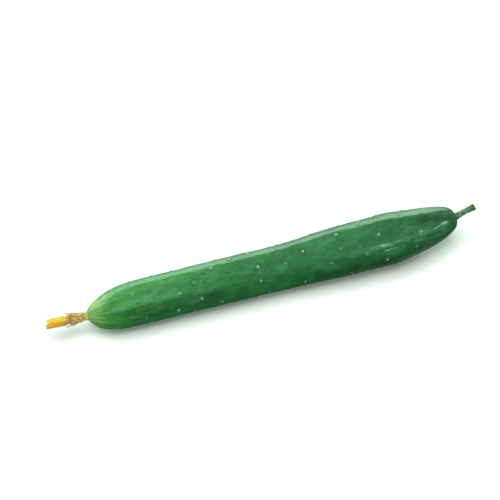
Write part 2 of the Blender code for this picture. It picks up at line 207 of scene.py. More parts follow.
# The withered flower, as in the solid.
FLOWER_LEAN = Vector((-1.0, 0.02, 0.04))
PIECE_GAP = 0.32 * MM
CUP_PROFILE = [  # its first two points carry the foot down round the fruit's tip
    (2.10 * MM, -1.25 * MM),
    (2.00 * MM, -0.45 * MM),
    (1.85 * MM, PIECE_GAP),
    (1.88 * MM, 1.1 * MM),
    (2.20 * MM, 2.4 * MM),
    (2.62 * MM, 4.2 * MM),
    (3.08 * MM, 6.0 * MM),
    (3.25 * MM, 7.4 * MM),
    (3.00 * MM, 7.9 * MM),
    (2.70 * MM, 7.6 * MM),
    (2.50 * MM, 6.2 * MM),
    (1.90 * MM, 4.0 * MM),
]
CUP_FLOOR = CUP_PROFILE[-1][1]
CUP_PLEAT = 0.12 * MM
CUP_TWIST = math.radians(3.4) / MM
SEPALS = 5
SEPAL_LENGTH = 4.6 * MM
SEPAL_HALF_WIDTH = 0.65 * MM
SEPAL_ROOT = (2.85 * MM, 6.6 * MM)
SEPAL_SPREADS = (0.7 * MM, 1.2 * MM)
SEPAL_CURLS = (3.0 * MM, -2.0 * MM, 5.0 * MM, 1.0 * MM, 2.0 * MM)
SEPAL_SUNK = 0.9 * MM
SEPAL_THICKNESS = 0.22 * MM
CALYX_HAIRS = 300
CALYX_HAIR_SEED = 33
CALYX_HAIR = [  # radius and height
    *[(0.0, -0.1 * MM), (0.10 * MM, 0.0), (0.07 * MM, 0.5 * MM)],
    *[(0.045 * MM, 1.0 * MM), (0.0, 1.5 * MM)],
]
PETAL_LENGTHS = [16.9 * MM, 16.2 * MM, 14.0 * MM, 13.2 * MM, 16.6 * MM]
PETALS_TURN = math.radians(22)
PETAL_PALENESS = [0.0, 0.75, 0.5, 0.4, 0.05]
PETAL_ROOT_HEIGHT = 4.6 * MM
PETAL_RADII = (0.95 * MM, 1.60 * MM, 2.25 * MM)
PETAL_LEAVES_ROOT = (0.0, 0.30)
PETAL_LEAVES_CUP = (0.20, 0.50)
PETAL_HALF_WIDTH = (0.70 * MM, 2.20 * MM)
PETAL_WIDENS = (0.12, 0.62)
PETAL_TIP_FROM = 0.72
PETAL_TIP_ROUNDING = 0.30
PETAL_OVERLAP = (0.24 * MM, 0.60 * MM)
PETAL_OVERLAPS = (0.15, 0.45)
PETAL_WAVE = 0.12 * MM
PETAL_WAVES = 1.4
PETAL_SEED = 4
PETAL_GLOW = 1.5 * MM
PETAL_THICKNESS = 0.20 * MM

# The camera, and where the photograph is taken from.
VIEW_AZIMUTH = math.radians(-17.766)
VIEW_ELEVATION = math.radians(50)
VIEW_DISTANCE = 0.9
VIEW_LENS = 118.8
VIEW_AIM = (-0.01392, 0.01784)

# The room: pale above and behind the fruit, green and darker below and in front, and white where a
# rim past either end mirrors the floor. Each pair is a direction's part along one axis where the
# change starts and where it is whole.
ROOM_AXIS = Vector((0.0, 0.7, 0.7))
ROOM = [(0.0, "#84a08a"), (1.0, "#9fa8a2"), (0.30, "#7f9b84"), (0.46, "#e2f7e8"), (0.80, "#e6f8ec")]
ROOM_STRENGTH = 0.38
ROOM_SHADE = "#5c7464"
ROOM_FLOOR = "#effaf2"
DARK_BELOW = (-0.35, -0.85)
WHITE_PAST_ENDS = (0.21, 0.32)
WHITE_BEHIND = (-0.35, 0.0)
WHITE_BELOW = (-0.1, -0.5)

# Soft lights: name, width and height, power, colour, place, the point on the X axis that each one
# faces, and whether the skin's gloss shows it.
LIGHTS = [
    ("overhead_softbox", (0.9, 0.9), 11.0, "#ffffff", Vector((-0.10, -0.02, 1.0)), 0.0, False),
    ("pale_card_behind", (1.86, 0.50), 14.8, "#d8ffe4", Vector((0.03, 1.05, 0.20)), 0.03, True),
    ("strip_in_front", (0.50, 0.08), 1.8, "#e8fff0", Vector((0.50, -0.80, 0.55)), 0.50, True),
    ("white_card_at_stem", (0.40, 0.30), 1.6, "#e8fff0", Vector((0.80, -0.45, 0.10)), 0.10, False),
    ("white_card_at_flower", (0.20, 0.12), 0.8, "#ffffff", Vector((-0.42, -0.30, 0.05)), -0.11, False),
]


def smooth_between(low, high, value):
    """0 below low, 1 above high, and a smooth S between them."""
    part = np.clip((value - low) / (high - low), 0.0, 1.0)
    return part * part * (3 - 2 * part)


def plateau(corners, value):
    """0 before the first corner, 1 from the second to the third, and 0 after the last."""
    rise_from, rise_to, fall_from, fall_to = corners
    return smooth_between(rise_from, rise_to, value) * (1 - smooth_between(fall_from, fall_to, value))


def mix(pair, part):
    return pair[0] + (pair[1] - pair[0]) * part


def unit(vectors):
    return vectors / np.linalg.norm(vectors, axis=-1, keepdims=True)


def cap(distance, reach, bulge, bluntness):
    inward = 1 - np.clip(distance / reach, 0.0, 1.0)
    return (1 - inward**bulge) ** (1 / bluntness)


def body_radius(share):
    radius = mix((BLOSSOM_SIDE_RADIUS, STEM_SIDE_RADIUS), smooth_between(*THICKENS_BETWEEN, share))
    for place, spread, height in SWELLINGS:
        radius = radius + height * np.exp(-(((share - place) / spread) ** 2))
    return radius


def outline_radius(share):
    return body_radius(share) * cap(share, **BLOSSOM_CAP) * cap(1 - share, **STEM_CAP)


def axis_point(share):
    from_middle = 2 * share - 1
    neck = np.maximum(0.0, (share - NECK_FROM) / (1 - NECK_FROM)) ** 2
    across = BOW * from_middle**2 + SWAY * np.sin(FULL_TURN * share) + NECK_SHIFT * neck
    chin = plateau((0, CHIN_LOWEST, CHIN_LOWEST, CHIN_ENDS), share)
    height = body_radius(share) - FLAT_DEPTH + NECK_LIFT * neck - CHIN_DROP * chin
    return np.stack([from_middle * FRUIT_LENGTH / 2, across, height], axis=-1)


def axis_frame(share):
    """The middle point there, and the directions along the fruit, to its +Y side, and up."""
    along = unit(axis_point(share + SMALL_STEP) - axis_point(share - SMALL_STEP))
    side = unit(np.cross(np.array([0.0, 0.0, 1.0]), along))
    return axis_point(share), along, side, np.cross(along, side)


def rib_profile(roundness):
    """How far a many-sided section with a corner on each crest stands off the round one, at even
    steps of angle, as a share of the radius. Its corners are rounded off by that angle."""
    angles = np.arange(0, FULL_TURN, FULL_TURN / 720)
    crests = np.append(RIB_CRESTS, RIB_CRESTS[0] + FULL_TURN)
    turned = np.where(angles < crests[0], angles + FULL_TURN, angles)
    facet = np.searchsorted(crests, turned, side="right") - 1
    middle = (crests[facet] + crests[facet + 1]) / 2
    half = (crests[facet + 1] - crests[facet]) / 2
    sides = np.cos(half) / np.cos(turned - middle)
    away = np.minimum(angles, FULL_TURN - angles)
    rounding = np.exp(-((away / roundness) ** 2) / 2)
    blurred = np.fft.ifft(np.fft.fft(sides) * np.fft.fft(rounding / rounding.sum())).real
    return angles, blurred - blurred.mean()


SHARP_RIBS = rib_profile(RIB_ROUNDING)
SOFT_RIBS = rib_profile(RIB_ROUNDING_IN_MIDDLE)


def turn_from(angle, other):
    """The turn from the other angle to this one, from minus to plus half a circle."""
    return (angle - other + math.pi) % FULL_TURN - math.pi


def section_radius(share, angle):
    """Its crests are plain near the ends, and soft in between but for the edge of the back. They
    wander a little to either side on their way along the fruit."""
    wander = sum(
        turn * np.sin(FULL_TURN * waves * (share - start)) for turn, waves, start in RIB_WANDERS
    )
    wander = wander + RIB_TURN_AT_STEM * smooth_between(*RIBS_TURN_BETWEEN, share)
    angle = angle - wander
    away_from_end = smooth_between(*RIBBED_ENDS, np.minimum(share, 1 - share))
    near_sharp = np.exp(-((turn_from(angle, SHARPEST_CREST) / SHARPEST_CREST_REACH) ** 2))
    softness = away_from_end * (1 - near_sharp)
    sharp, soft = (np.interp(angle, *ribs, period=FULL_TURN) for ribs in (SHARP_RIBS, SOFT_RIBS))
    flatness = mix((RIB_FLATNESS_AT_ENDS, RIB_FLATNESS), away_from_end)
    lobes = LOBE_SHARE * np.cos(LOBES * (angle - LOBE_TURN))
    return outline_radius(share) * (1 + lobes + flatness * mix((sharp, soft), softness))


def fruit_point(share, angle, relief=0.0):
    """Points of the fruit's surface, raised outwards by the relief, and flat where it rests."""
    share, angle = np.asarray(share, float), np.asarray(angle, float)
    centre, along, side, up = axis_frame(share)
    radius = section_radius(share, angle)
    nub = NUB_HEIGHT * np.exp(-((radius / NUB_RADIUS) ** 2))
    dimple = DIMPLE_DEPTH * np.exp(-((radius / DIMPLE_RADIUS) ** 2))
    painted_pit_shade = -np.where(share < 0.5, nub, dimple)
    outward = side * np.cos(angle)[..., None] + up * np.sin(angle)[..., None]
    point = centre + outward * (radius + relief)[..., None] + along * painted_pit_shade[..., None]
    point[..., 2] = np.maximum(point[..., 2], 0.0)
    return point


def even_shares(count):
    """Shares of the fruit's length that lie evenly spaced along its rounded outline."""
    shares = 0.5 - 0.5 * np.cos(np.linspace(0, math.pi, 4001))
    steps = np.hypot(np.diff(shares) * FRUIT_LENGTH, np.diff(outline_radius(shares)))
    travelled = np.concatenate([[0.0], np.cumsum(steps)])
    return np.interp(np.linspace(0, travelled[-1], count + 1), travelled, shares)


def wart_places():
    """Share, angle and size of each wart: an uneven row along each rib, clear of what it rests on."""
    draw = random.Random(WART_SEED)
    sizes = random.Random(WART_SEED + 1)
    stations = even_shares(SOLID_RINGS)
    cells = list(FRONT_WARTS)
    for rib in OTHER_RIBS:
        ring = WART_FIRST_RING + draw.randrange(WART_STEP[1])
        while ring < WART_LAST_RING:
            side = rib * SIDES_PER_RIB + draw.randrange(-1, 2)
            cells.append((ring, side % SOLID_SIDES, sizes.uniform(*WART_SIZES)))
            ring += draw.randint(*WART_STEP)
    places = []
    for ring, side, size in cells:
        share = (stations[ring] + stations[ring + 1]) / 2
        places.append((share, FULL_TURN * (side + 0.5) / SOLID_SIDES, size))
    share, angle, _ = np.array(places).T
    tip = fruit_point(share, angle, np.full(len(places), WART_REACH))
    return [place for place, point in zip(places, tip) if point[2] > SPINE_CLEARANCE]


def noise_at(points, size, seed=0.0):
    """Smooth noise from about -1 to 1 at each point, with lumps of about that size."""
    offset = Vector((seed, 2 * seed, -seed))
    return np.array([noise.noise(Vector(point) / size + offset) for point in points])


def linear(code):
    """Linear RGBA of an sRGB hex value."""
    channels = [int(code[i : i + 2], 16) / 255 for i in (1, 3, 5)]
    return (*[c / 12.92 if c <= 0.04045 else ((c + 0.055) / 1.055) ** 2.4 for c in channels], 1.0)


def node(material, kind, links=None, stops=None, **settings):
    """Adds a node. A link is a (node, output) pair or a plain value, by the input's name or number."""
    new = material.node_tree.nodes.new(kind)
    for name, value in settings.items():
        setattr(new, name, value)
    for name, source in (links or {}).items():
        if isinstance(source, tuple) and isinstance(source[0], bpy.types.Node):
            material.node_tree.links.new(source[0].outputs[source[1]], new.inputs[name])
        else:
            new.inputs[name].default_value = source
    for i, (position, code) in enumerate(stops or []):
        elements = new.color_ramp.elements
        element = elements[i] if i < 2 else elements.new(position)
        element.position, element.color = position, linear(code)
    return new


def new_material(name, **values):
    """A material with one Principled shader, whose uniform values are set on its own sockets."""
    material = bpy.data.materials.new(name)
    material.use_nodes = True
    shader = material.node_tree.nodes["Principled BSDF"]
    for socket, value in values.items():
        shader.inputs[socket.replace("_", " ")].default_value = value
    return material, shader


def join(material, source, shader, socket):
    material.node_tree.links.new(source[0].outputs[source[1]], shader.inputs[socket])


def finished_piece(name, bm, material, slot, *nodes):
    """Makes the piece from the bmesh, and lets it ride on the body and stand for the CAD nodes."""
    mesh = bpy.data.meshes.new(name)
    bm.to_mesh(mesh)
    bm.free()
    mesh.shade_smooth()
    mesh.materials.append(material)
    piece = bpy.data.objects.new(name, mesh)
    bpy.context.scene.collection.objects.link(piece)
    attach(piece, ROOT)
    if nodes:
        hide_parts(*nodes)
    return piece


def shaped_grid(bm, columns, rows, place):
    """Adds a grid to the bmesh, put into shape by place(across, along), both from 0 to 1. They are
    kept in the vertex layers of those names."""
    across_layer = bm.verts.layers.float.get("across") or bm.verts.layers.float.new("across")
    along_layer = bm.verts.layers.float.get("along") or bm.verts.layers.float.new("along")
    made = bmesh.ops.create_grid(bm, x_segments=columns, y_segments=rows, size=0.5)
    for vert in made["verts"]:
        across, along = vert.co.x + 0.5, vert.co.y + 0.5
        vert[across_layer], vert[along_layer] = across, along
        vert.co = place(across, along)
    return made["verts"]


def close_up(bm):
    """Merges the seam and the poles of a shape that closes on itself, and turns its faces outwards."""
    bmesh.ops.remove_doubles(bm, verts=bm.verts, dist=0.0005 * MM)
    bmesh.ops.dissolve_degenerate(bm, dist=0.0005 * MM, edges=bm.edges)
    bmesh.ops.recalc_face_normals(bm, faces=bm.faces)


def thicken(piece, thickness):
    """Gives a thin piece its walls, half to either side."""
    walls = piece.modifiers.new("thickness", "SOLIDIFY")
    walls.thickness = thickness
    walls.offset = 0


def thorn_mesh(profile, sides, bend):
    """A small closed solid of revolution, from (radius, height) pairs on the way from axis to axis."""
    bm = bmesh.new()
    verts = [bm.verts.new((radius, 0, height)) for radius, height in profile]
    edges = [bm.edges.new(pair) for pair in zip(verts, verts[1:])]
    bmesh.ops.spin(
        bm,
        geom=verts + edges,
        cent=(0, 0, 0),
        axis=(0, 0, 1),
        angle=FULL_TURN,
        steps=sides,
        use_merge=True,
    )
    close_up(bm)
    for vert in bm.verts:
        vert.co.x += bend * vert.co.z**2
    mesh = bpy.data.meshes.new("thorn")
    bm.to_mesh(mesh)
    bm.free()
    return mesh


def scatter(mesh, places):
    """A bmesh with one copy of the mesh for each (point, direction, turn, width, length)."""
    bm = bmesh.new()
    for point, direction, turn, width, length in places:
        start = len(bm.verts)
        bm.from_mesh(mesh)
        bm.verts.ensure_lookup_table()
        matrix = Matrix.Translation(point) @ direction.to_track_quat("Z", "X").to_matrix().to_4x4()
        matrix = matrix @ Matrix.Rotation(turn, 4, "Z") @ Matrix.Diagonal((width, width, length, 1))
        bmesh.ops.transform(bm, matrix=matrix, verts=bm.verts[start:])
    return bm


# Skin of a fresh cucumber: living epidermis under a thin wax, so it is satin, not glossy, dark green
# in depth and greyer where the wax is thick. It ends yellow-green at the blossom, in uneven fingers.
def make_skin_material():
    skin, shader = new_material(
        "waxy cucumber skin",
        IOR=1.45,
        Coat_Weight=0.25,
        Coat_Roughness=0.22,
        Coat_IOR=1.4,
    )
    place, wart, moat, ripe, smooth_and_painted_highlight, fresh, painted_light_and_shade = (
        node(skin, "ShaderNodeAttribute", attribute_name=name) for name in SKIN_ATTRIBUTES
    )
    parts = node(skin, "ShaderNodeSeparateXYZ", {0: (place, "Vector")})
    share = node(skin, "ShaderNodeMath", {0: (parts, 0), 1: FRUIT_LENGTH}, operation="DIVIDE")
    greens = node(
        skin,
        "ShaderNodeValToRGB",
        {0: (ripe, "Fac")},
        stops=[
            (0.0, "#7ea860"),
            (1.0, "#1c5231"),
            (0.020, "#5a9140"),
            (0.031, "#4b8a39"),
            (0.040, "#2f8036"),
            (0.12, "#2a7737"),
            (0.30, "#277136"),
            (0.42, "#226732"),
            (0.60, "#206233"),
            (0.86, "#1c5c33"),
            (0.94, "#154c2b"),
        ],
    )
    yellower = node(skin, "ShaderNodeMath", {0: (fresh, "Fac"), 1: 0.5}, operation="MULTIPLY")
    fresher = node(
        skin,
        "ShaderNodeMix",
        {0: (yellower, 0), 6: (greens, 0), 7: linear("#448739")},
        data_type="RGBA",
    )
    # The green's value: random blotches, with the broad patches of painted light and shade added to
    # them.
    blotches = node(skin, "ShaderNodeTexNoise", {0: (place, "Vector"), "Scale": 90.0, "Detail": 4.0})
    value = node(
        skin,
        "ShaderNodeMapRange",
        {"Value": (blotches, 0), "From Min": 0.3, "From Max": 0.7, "To Min": 0.84, "To Max": 1.16},
    )
    blotches_and_painted_shading = node(skin, "ShaderNodeMath", {0: (value, 0), 1: (painted_light_and_shade, "Fac")}, operation="ADD")
    shaded = node(skin, "ShaderNodeHueSaturation", {"Color": (fresher, 2), "Value": (blotches_and_painted_shading, 0)})

    # Painted shade: darker flecks 2 to 4 mm long that stand in for shade in small pits, and a darker
    # ring of painted shade in the moat round each wart.
    flecks_place = node(skin, "ShaderNodeMapping", {0: (place, "Vector"), "Scale": (0.6, 1.0, 1.0)})
    flecks = node(skin, "ShaderNodeTexNoise", {0: (flecks_place, 0), "Scale": 420.0, "Detail": 3.0})
    painted_pit_shade = node(
        skin,
        "ShaderNodeMapRange",
        {"Value": (flecks, 0), "From Min": 0.55, "From Max": 0.70, "To Min": 0.0, "To Max": 0.5},
    )
    painted_pit_and_moat_shade = node(
        skin, "ShaderNodeMath", {0: (moat, "Fac"), 1: 0.5, 2: (painted_pit_shade, 0)}, operation="MULTIPLY_ADD"
    )

    # Wax bloom: a thin pale film, rubbed off in long patches. Over it, the streaks' painted highlight
    # and painted sheen, in the same pale tint.
    stretched = node(skin, "ShaderNodeMapping", {0: (place, "Vector"), "Scale": (0.5, 1.0, 1.0)})
    bloom = node(
        skin,
        "ShaderNodeTexNoise",
        {0: (stretched, 0), "Scale": 210.0, "Detail": 6.0, "Roughness": 0.7},
    )
    bloomed = node(
        skin,
        "ShaderNodeMapRange",
        {"Value": (bloom, 0), "From Min": 0.48, "From Max": 0.72, "To Min": 0.0, "To Max": 0.20},
    )
    bloom_and_painted_highlight = node(
        skin, "ShaderNodeMath", {0: (smooth_and_painted_highlight, "Fac"), 1: 0.8, 2: (bloomed, 0)}, operation="MULTIPLY_ADD"
    )

    # Fine pale lines that start at the blossom end and are gone by a sixth of the length.
    lines_place = node(skin, "ShaderNodeMapping", {0: (place, "Vector"), "Scale": (0.07, 1.0, 1.0)})
    lines = node(skin, "ShaderNodeTexNoise", {0: (lines_place, 0), "Scale": 620.0, "Detail": 2.0})
    strong = node(skin, "ShaderNodeMapRange", {"Value": (lines, 0), "From Min": 0.52, "From Max": 0.70})
    fade = node(
        skin,
        "ShaderNodeMapRange",
        {"Value": (share, 0), "From Min": 0.02, "From Max": 0.15, "To Min": 0.30, "To Max": 0.0},
    )
    lined = node(skin, "ShaderNodeMath", {0: (strong, 0), 1: (fade, 0)}, operation="MULTIPLY")

    # Freckles 0.4 mm wide and 1.6 mm apart, the breathing pores' corky rims, faint and in patches.
    pores = node(skin, "ShaderNodeTexVoronoi", {0: (place, "Vector"), "Scale": 620.0})
    pored = node(
        skin,
        "ShaderNodeMapRange",
        {"Value": (pores, 0), "From Min": 0.12, "From Max": 0.28, "To Min": 0.32, "To Max": 0.0},
    )
    patches = node(skin, "ShaderNodeTexNoise", {0: (place, "Vector"), "Scale": 48.0, "Detail": 1.0})
    patched = node(
        skin, "ShaderNodeMapRange", {"Value": (patches, 0), "From Min": 0.54, "From Max": 0.66}
    )
    freckled = node(skin, "ShaderNodeMath", {0: (pored, 0), 1: (patched, 0)}, operation="MULTIPLY")

    # Each layer of colour lies over the one before it, and the warts' over all.
    on_wart = node(skin, "ShaderNodeMath", {0: (wart, "Fac"), 1: 0.34}, operation="MULTIPLY")
    colour = (shaded, 0)
    for amount, tint in [
        (painted_pit_and_moat_shade, "#134824"),
        (bloom_and_painted_highlight, "#7dbd92"),
        (lined, "#9ccf7a"),
        (freckled, "#6ea87c"),
        (on_wart, "#6aa070"),
    ]:
        layer = node(
            skin, "ShaderNodeMix", {0: (amount, 0), 6: colour, 7: linear(tint)}, data_type="RGBA"
        )
        colour = (layer, 2)
    join(skin, colour, shader, "Base Color")

    # Smoother where the wax is thin, and rubbed smoothest in streaks on one rib towards the stem.
    thin = node(
        skin,
        "ShaderNodeMapRange",
        {"Value": (bloom, 0), "From Min": 0.65, "From Max": 0.35, "To Min": 0.0, "To Max": 0.30},
    )
    smoother = node(skin, "ShaderNodeMath", {0: (thin, 0), 1: (smooth_and_painted_highlight, "Fac")}, operation="ADD")
    gloss = node(skin, "ShaderNodeMapRange", {"Value": (smoother, 0), "To Min": 0.48, "To Max": 0.22})
    join(skin, (gloss, 0), shader, "Roughness")

    # Leathery relief: cells of about 1 mm with fine wrinkles on them.
    cells = node(skin, "ShaderNodeTexNoise", {0: (place, "Vector"), "Scale": 800.0, "Detail": 3.0})
    wrinkles = node(
        skin, "ShaderNodeBump", {"Height": (lines, 0), "Strength": 0.3, "Distance": 0.0003}
    )
    leather = node(
        skin,
        "ShaderNodeBump",
        {"Height": (cells, 0), "Strength": 0.5, "Distance": 0.0002, "Normal": (wrinkles, 0)},
    )
    join(skin, (leather, 0), shader, "Normal")
    return skin


def summed_patches(patches, share, angle):
    """The soft patches' strengths summed at each point of the skin."""
    total = np.zeros(len(share))
    for at_share, at_angle, share_reach, angle_reach, strength in patches:
        around = turn_from(angle, math.radians(at_angle)) / math.radians(angle_reach)
        total += strength * np.exp(-(((share - at_share) / share_reach) ** 2) - around**2)
    return total


def make_skin():
    """The whole fruit as one fine skin, drawn out from a sphere, with low warts and creased ends."""
    bm = bmesh.new()
    bmesh.ops.create_uvsphere(bm, u_segments=SKIN_SIDES, v_segments=SKIN_RINGS, radius=1)
    unit_points = np.array([vert.co for vert in bm.verts])
    rings = np.rint((1 - np.arccos(np.clip(unit_points[:, 2], -1, 1)) / math.pi) * SKIN_RINGS)
    share = even_shares(SKIN_RINGS)[rings.astype(int)]
    angle = np.arctan2(unit_points[:, 1], unit_points[:, 0])
    flat_place = np.stack(
        [share * FRUIT_LENGTH, np.cos(angle) * PATTERN_RADIUS, np.sin(angle) * PATTERN_RADIUS], axis=-1
    )
    fullness = outline_radius(share) / body_radius(share)

    relief = np.zeros(len(share))
    for height, lump, seed, drawn_out, comes_in in SKIN_RELIEF:
        lumps = height * noise_at(flat_place * np.array([drawn_out, 1.0, 1.0]), lump, seed)
        relief += lumps * smooth_between(*comes_in, share) if comes_in else lumps
    ridge = np.zeros(len(share))
    for ridge_angle, start, end, height in TIP_RIDGES:
        across = np.exp(-((turn_from(angle, ridge_angle) / TIP_RIDGE_WIDTH) ** 2))
        crest = TIP_RIDGE_GAIN * height * across
        middle = (start + end) / 2
        ridge += crest * smooth_between(end, middle, share) * smooth_between(0, start, share)
    relief += ridge

    wart, moat = np.zeros(len(share)), np.zeros(len(share))
    radius = section_radius(share, angle)
    for wart_share, wart_angle, size in wart_places():
        away = np.hypot((share - wart_share) * FRUIT_LENGTH, radius * turn_from(angle, wart_angle))
        mound = np.exp(-((away / WART_WIDTH) ** 2))
        wart = np.maximum(wart, mound * size)
        moat = np.maximum(moat, size * np.exp(-(((away - MOAT_REACH) / MOAT_WIDTH) ** 2)))
    relief = relief * fullness + WART_HEIGHT * wart - MOAT_DEPTH * moat

    points = fruit_point(share, angle, relief)
    for vert, point in zip(bm.verts, points):
        vert.co = point
    skin = finished_piece("fruit_skin", bm, make_skin_material(), "skin", "fruit")

    # The pale blossom end reaches further along the back, and a little further on some strands.
    turned = np.where(angle < -math.pi / 2, angle + FULL_TURN, angle)
    at_back = plateau(PALE_BACK_ANGLES, turned)
    strand = noise_at(flat_place * np.array([0.15, 1.0, 1.0]), 2.6 * MM, 11.0)
    # Paler still on the fine tip ridges, partly their own colour and partly painted highlight.
    ahead = PALE_BACK * at_back * (1 + 1.2 * strand) + 0.008 * strand + PALE_AND_PAINTED_HIGHLIGHT_RIDGES * ridge / MM
    ahead *= 1 - smooth_between(0.05, 0.22, share)
    # Streaks rubbed smooth, broken up along their length; their paleness is painted highlight and
    # painted sheen.
    fibres = noise_at(flat_place * np.array([0.3, 1.0, 1.0]), 1.1 * MM, 13.0)
    streaks = np.clip(0.7 + 1.3 * fibres, 0, 2)
    smooth_and_painted_highlight = streaks * summed_patches(SMOOTH_STREAKS_AND_PAINTED_HIGHLIGHTS, share, angle)
    # Painted light and shade: the broad patches, less the darker band of painted shade below one rib.
    shady = plateau(SHADY_SHARES, share) * plateau(SHADY_ANGLES, turned)
    painted_light_and_shade = summed_patches(PAINTED_LIGHT_AND_SHADE_PATCHES, share, angle) - SHADY_DEPTH * shady
    middle, width = FRESH_SIDE
    fresh = plateau(FRESH_SHARES, share) * np.exp(-(((turned - middle) / width) ** 2))
    values = (flat_place, wart, moat, share - ahead, smooth_and_painted_highlight, fresh, painted_light_and_shade)
    for name, numbers in zip(SKIN_ATTRIBUTES, values):
        kind, field = ("FLOAT_VECTOR", "vector") if numbers.ndim == 2 else ("FLOAT", "value")
        attribute = skin.data.attributes.new(name, kind, "POINT")
        attribute.data.foreach_set(field, numbers.astype(np.float32).ravel())
    return skin


def make_spines():
    """A pale pointed spine on every wart, standing in a small collar."""
    tissue, shader = new_material("pale spine tissue", Roughness=0.5, IOR=1.45)
    place = node(tissue, "ShaderNodeTexCoord")
    grain = node(tissue, "ShaderNodeTexNoise", {0: (place, "Object"), "Scale": 3000.0, "Detail": 2.0})
    colour = node(
        tissue, "ShaderNodeValToRGB", {0: (grain, 0)}, stops=[(0.35, "#93c79a"), (0.65, "#d3f0cf")]
    )
    join(tissue, (colour, 0), shader, "Base Color")
    bump = node(tissue, "ShaderNodeBump", {"Height": (grain, 0), "Strength": 0.4, "Distance": 0.00005})
    join(tissue, (bump, 0), shader, "Normal")
    profile = [
        (0.0, -0.10 * MM),
        (0.40 * MM, -0.02 * MM),
        (0.33 * MM, 0.08 * MM),
        (0.17 * MM, 0.16 * MM),
        (0.09 * MM, 0.50 * MM),
        (0.0, 1.05 * MM),
    ]
    thorn = thorn_mesh(profile, 8, 90.0)
    draw = random.Random(WART_SEED + 2)
    places = []
    for share, angle, size in wart_places():
        foot = fruit_point(share, angle, np.array(WART_HEIGHT * size))
        ahead = fruit_point(share + SMALL_STEP, angle) - fruit_point(share - SMALL_STEP, angle)
        aside = fruit_point(share, angle + 0.02) - fruit_point(share, angle - 0.02)
        outward = Vector(unit(np.cross(aside, ahead)))
        lean = Vector((draw.uniform(-0.3, 0.3), draw.uniform(-0.3, 0.3), draw.uniform(0.0, 0.3)))
        places.append((Vector(foot), outward + lean, draw.uniform(0, FULL_TURN), size, size))
    return finished_piece("spines", scatter(thorn, places), tissue, "skin")


def make_stalk_material():
    """Fresh stem tissue: matt, ridged and downy, olive-brown at the foot and grey where it was cut."""
    stem, shader = new_material("downy green stem", IOR=1.45, Sheen_Weight=0.25, Sheen_Roughness=0.5)
    along = node(stem, "ShaderNodeAttribute", attribute_name="along")
    place = node(stem, "ShaderNodeTexCoord")
    greens = node(
        stem,
        "ShaderNodeValToRGB",
        {0: (along, "Fac")},
        stops=[
            (0.0, "#526148"),
            (1.0, "#8b957c"),
            (0.26, "#687b5d"),
            (0.38, "#3c6d46"),
            (0.62, "#33733f"),
            (0.85, "#3c6e42"),
            (0.895, "#3e4a3c"),
            (0.945, "#56604f"),
        ],
    )
    # Strands and dark scars that wind round it, 1 to 2 mm apart.
    across = node(stem, "ShaderNodeAttribute", attribute_name="across")
    around = node(stem, "ShaderNodeMath", {0: (across, "Fac"), 1: FULL_TURN}, operation="MULTIPLY")
    sway = node(stem, "ShaderNodeMath", {0: (around, 0)}, operation="SINE")
    wound = node(
        stem, "ShaderNodeMath", {0: (along, "Fac"), 1: 13.0, 2: (sway, 0)}, operation="MULTIPLY_ADD"
    )
    strands = node(
        stem, "ShaderNodeTexNoise", {"W": (wound, 0), "Scale": 1.0, "Detail": 1.0}, noise_dimensions="1D"
    )
    pale = node(
        stem,
        "ShaderNodeMapRange",
        {"Value": (strands, 0), "From Min": 0.58, "From Max": 0.68, "To Min": 0.0, "To Max": 0.55},
    )
    dark = node(
        stem,
        "ShaderNodeMapRange",
        {"Value": (strands, 0), "From Min": 0.42, "From Max": 0.34, "To Min": 0.0, "To Max": 0.6},
    )
    paler = node(
        stem, "ShaderNodeMix", {0: (pale, 0), 6: (greens, 0), 7: linear("#76b085")}, data_type="RGBA"
    )
    darker = node(
        stem, "ShaderNodeMix", {0: (dark, 0), 6: (paler, 2), 7: linear("#1f4429")}, data_type="RGBA"
    )
    spots = node(stem, "ShaderNodeTexNoise", {0: (place, "Object"), "Scale": 900.0, "Detail": 4.0})
    value = node(
        stem,
        "ShaderNodeMapRange",
        {"Value": (spots, 0), "From Min": 0.32, "From Max": 0.68, "To Min": 0.62, "To Max": 1.4},
    )
    colour = node(stem, "ShaderNodeHueSaturation", {"Color": (darker, 2), "Value": (value, 0)})
    join(stem, (colour, 0), shader, "Base Color")
    rough = node(stem, "ShaderNodeMapRange", {"Value": (spots, 0), "To Min": 0.5, "To Max": 0.8})
    join(stem, (rough, 0), shader, "Roughness")
    bump = node(stem, "ShaderNodeBump", {"Height": (spots, 0), "Strength": 0.8, "Distance": 0.00025})
    join(stem, (bump, 0), shader, "Normal")
    return stem


def stalk_line(part):
    """A point on the stalk's middle line, and its radius there."""
    end, along, _, up = (Vector(v) for v in axis_frame(1.0))
    start = end - along * (DIMPLE_DEPTH - STALK_FOOT_HEIGHT)
    flare = STALK_FOOT_FLARE * max(0.0, 1 - 3 * part) + STALK_TIP_FLARE * part**6
    point = start + STALK_LEAN * (STALK_LENGTH * part) + up * (STALK_CURL * part**2)
    return point, STALK_RADIUS * (1 + flare)


def stalk_point(turn, part, fill):
    """A point of the stalk's skin. The five blunt angles wind slowly round it."""
    middle, radius = stalk_line(part)
    direction = (stalk_line(part + 0.01)[0] - stalk_line(part - 0.01)[0]).normalized()
    side = Vector((0, 0, 1)).cross(direction).normalized()
    angle = FULL_TURN * turn
    angles = STALK_ANGLE_SHARE * math.cos(STALK_ANGLES * (angle - 1.3 * part))
    groove = 0.03 * math.cos(3 * STALK_ANGLES * (angle - 1.3 * part))
    outward = side * math.cos(angle) + direction.cross(side) * math.sin(angle)
    lumps = 0.14 * MM * noise.noise((middle + outward * radius) / (1.6 * MM))
    return middle + outward * (radius * (1 + angles + groove) + lumps) * fill


